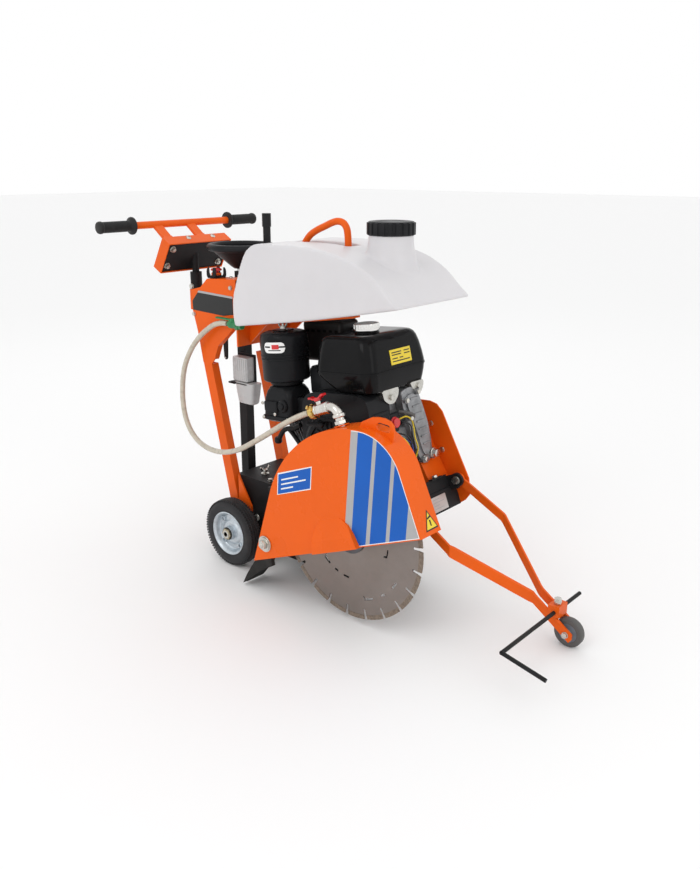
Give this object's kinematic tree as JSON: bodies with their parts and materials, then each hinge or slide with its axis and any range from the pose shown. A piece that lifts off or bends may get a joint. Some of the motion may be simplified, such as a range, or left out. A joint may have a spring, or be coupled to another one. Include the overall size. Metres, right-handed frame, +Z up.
{
  "type": "walk-behind concrete floor saw",
  "caption": "Walk-behind concrete floor saw with a guarded diamond blade, petrol engine, belt cover, water tank, handwheel depth setting, handlebar and folding front pointer.",
  "frame": {"origin": "on the floor, at the middle of the saw's length and width", "axes": "+X forward, the way it cuts; +Y to the operator's left; +Z up. The blade is on the right, at -Y"},
  "size_m": [1.421, 0.586, 0.992],
  "materials": {
    "orange_paint": "gloss",
    "black_paint": "satin",
    "zinc": "satin",
    "blade_steel": "satin",
    "segment": "matte",
    "cast": "matte",
    "chrome": "polished",
    "nickel": "polished",
    "brass": "polished",
    "engine_alloy": "satin",
    "heat_shield": "matte",
    "tank_black": "gloss",
    "black_plastic": "satin",
    "tank_plastic": "satin",
    "grey_plastic": "satin",
    "green_plastic": "satin",
    "red_plastic": "gloss",
    "red_paint": "gloss",
    "hose_plastic": "satin",
    "grip_rubber": "matte",
    "belt_rubber": "matte",
    "grey_rubber": "matte",
    "tyre": "matte",
    "rim": "satin"
  },
  "bodies": {
    "carriage": {"undercarriage": "black_paint", "rear_axle": "zinc", "front_axle": "zinc", "leg_right": "orange_paint", "leg_left": "orange_paint", "console": "orange_paint", "depth_column": "black_paint", "water_tank": "tank_plastic", "tank_cradle": "orange_paint", "tank_handle": "orange_paint", "water_tap": "green_plastic", "water_hose": "hose_plastic", "tool_box": "grey_plastic"},
    "handlebar_set": {"handlebar_post": "black_paint", "handlebar_tray": "orange_paint", "handlebar": "orange_paint", "handlebar_grips": "grip_rubber"},
    "chassis": {"chassis_frame": "black_paint", "engine_bed": "black_paint", "engine_block": "engine_alloy", "recoil_cover": "black_plastic", "fuel_tank": "tank_black", "air_cleaner": "black_plastic", "muffler": "heat_shield", "belt_cover": "orange_paint", "belt_backplate": "orange_paint", "drive_belt": "belt_rubber", "spindle_housing": "black_paint", "guard_bolt": "zinc"},
    "guard": {"blade_guard": "orange_paint", "guard_flap": "belt_rubber", "water_elbow": "nickel", "ball_valve": "brass"},
    "blade": {"blade_core": "blade_steel", "blade_segments": "segment", "blade_clamp": "zinc", "blade_spindle": "blade_steel", "spindle_pulley": "cast"},
    "crank": {"crankshaft": "blade_steel", "engine_pulley": "cast"},
    "wheel_rear_right": {"rear_tyre_right": "tyre", "rear_rim_right": "rim"},
    "wheel_rear_left": {"rear_tyre_left": "tyre", "rear_rim_left": "rim"},
    "wheel_front_right": {"front_wheel_right": "grip_rubber"},
    "wheel_front_left": {"front_wheel_left": "grip_rubber"},
    "depth_wheel": {"handwheel": "black_plastic", "depth_screw": "zinc"},
    "knob": {"handwheel_knob": "black_plastic"},
    "lift": {"lift_rod": "zinc"},
    "pointer": {"pointer_arm": "orange_paint"},
    "pointer_roller": {"pointer_wheel": "grey_rubber"},
    "pointer_bar": {"pointer_rod": "black_paint"},
    "pointer_screw": {"pointer_clamp": "zinc"},
    "filler_cap": {"tank_cap": "black_plastic"},
    "petrol_cap": {"fuel_cap": "chrome"},
    "valve_handle": {"valve_lever": "red_paint"},
    "tap_handle": {"tap_lever": "green_plastic"},
    "stop": {"stop_button": "red_plastic"},
    "throttle": {"throttle_lever": "black_plastic"}
  },
  "joints": [
    {"name": "chassis_tilt", "type": "hinge", "parent": "carriage", "child": "chassis", "pos_m": [-0.337, 0, 0.1], "axis": [0, 1, 0], "range_deg": [0, 22], "deforming": ["water_hose"]},
    {"name": "guard_lift", "type": "hinge", "parent": "chassis", "child": "guard", "pos_m": [-0.11788, -0.2, 0.15294], "axis": [0, -1, 0], "range_deg": [0, 55]},
    {"name": "blade_spin", "type": "hinge", "parent": "chassis", "child": "blade", "pos_m": [0.14698, -0.195, 0.24485], "axis": [0, 1, 0], "continuous": true},
    {"name": "crank_spin", "type": "hinge", "parent": "chassis", "child": "crank", "pos_m": [0.06161, 0.05, 0.41268], "axis": [0, 1, 0], "continuous": true},
    {"name": "rear_right_spin", "type": "hinge", "parent": "carriage", "child": "wheel_rear_right", "pos_m": [-0.337, -0.155, 0.1], "axis": [0, 1, 0], "continuous": true},
    {"name": "rear_left_spin", "type": "hinge", "parent": "carriage", "child": "wheel_rear_left", "pos_m": [-0.337, 0.155, 0.1], "axis": [0, 1, 0], "continuous": true},
    {"name": "front_right_spin", "type": "hinge", "parent": "carriage", "child": "wheel_front_right", "pos_m": [0.08, -0.099, 0.05], "axis": [0, 1, 0], "continuous": true},
    {"name": "front_left_spin", "type": "hinge", "parent": "carriage", "child": "wheel_front_left", "pos_m": [0.08, 0.099, 0.05], "axis": [0, 1, 0], "continuous": true},
    {"name": "depth_wheel_turn", "type": "hinge", "parent": "carriage", "child": "depth_wheel", "pos_m": [-0.432, 0, 0.898], "axis": [0, 0, 1], "range_deg": [0, 2200]},
    {"name": "lift_slide", "type": "slide", "parent": "carriage", "child": "lift", "axis": [0, 0, 1], "range_m": [0, 0.0368]},
    {"name": "knob_spin", "type": "hinge", "parent": "depth_wheel", "child": "knob", "pos_m": [-0.34796, 0.02252, 0.94], "axis": [0, 0, 1], "continuous": true},
    {"name": "handlebar_height", "type": "slide", "parent": "carriage", "child": "handlebar_set", "axis": [0, 0, 1], "range_m": [0, 0.04]},
    {"name": "pointer_fold", "type": "hinge", "parent": "chassis", "child": "pointer", "pos_m": [0.24699, 0.02, 0.323], "axis": [0, -1, 0], "range_deg": [0, 100]},
    {"name": "pointer_wheel_spin", "type": "hinge", "parent": "pointer", "child": "pointer_roller", "pos_m": [0.625, 0.066, 0.0375], "axis": [0, 1, 0], "continuous": true},
    {"name": "pointer_rod_slide", "type": "slide", "parent": "pointer", "child": "pointer_bar", "axis": [0, 1, 0], "range_m": [-0.06, 0.06]},
    {"name": "pointer_clamp_turn", "type": "hinge", "parent": "pointer", "child": "pointer_screw", "pos_m": [0.592, 0.061, 0.12], "axis": [0, 0, 1], "continuous": true},
    {"name": "filler_cap_turn", "type": "hinge", "parent": "carriage", "child": "filler_cap", "pos_m": [0.11, 0, 0.97], "axis": [0, 0, 1], "range_deg": [0, 720]},
    {"name": "petrol_cap_turn", "type": "hinge", "parent": "chassis", "child": "petrol_cap", "pos_m": [0.07175, -0.045, 0.73278], "axis": [-0.0872, 0, 0.9962], "range_deg": [0, 90]},
    {"name": "valve_turn", "type": "hinge", "parent": "guard", "child": "valve_handle", "pos_m": [0.05044, -0.198, 0.55853], "axis": [-0.3746, 0, 0.9272], "range_deg": [0, 90]},
    {"name": "tap_turn", "type": "hinge", "parent": "carriage", "child": "tap_handle", "pos_m": [-0.328, -0.132, 0.715], "axis": [0, 0, 1], "range_deg": [0, 90]},
    {"name": "stop_press", "type": "slide", "parent": "carriage", "child": "stop", "axis": [0, 0, -1], "range_m": [0, 0.004], "stiffness_N_per_m": 400},
    {"name": "throttle_pull", "type": "hinge", "parent": "carriage", "child": "throttle", "pos_m": [-0.452, -0.055, 0.64], "axis": [0, 1, 0], "range_deg": [-20, 20]}
  ],
  "couplings": [
    {"joint": "crank_spin", "follows": "blade_spin", "ratio": 1.1923},
    {"joint": "lift_slide", "follows": "chassis_tilt", "m_per_rad": 0.0956},
    {"joint": "depth_wheel_turn", "follows": "chassis_tilt", "ratio": 100}
  ]
}
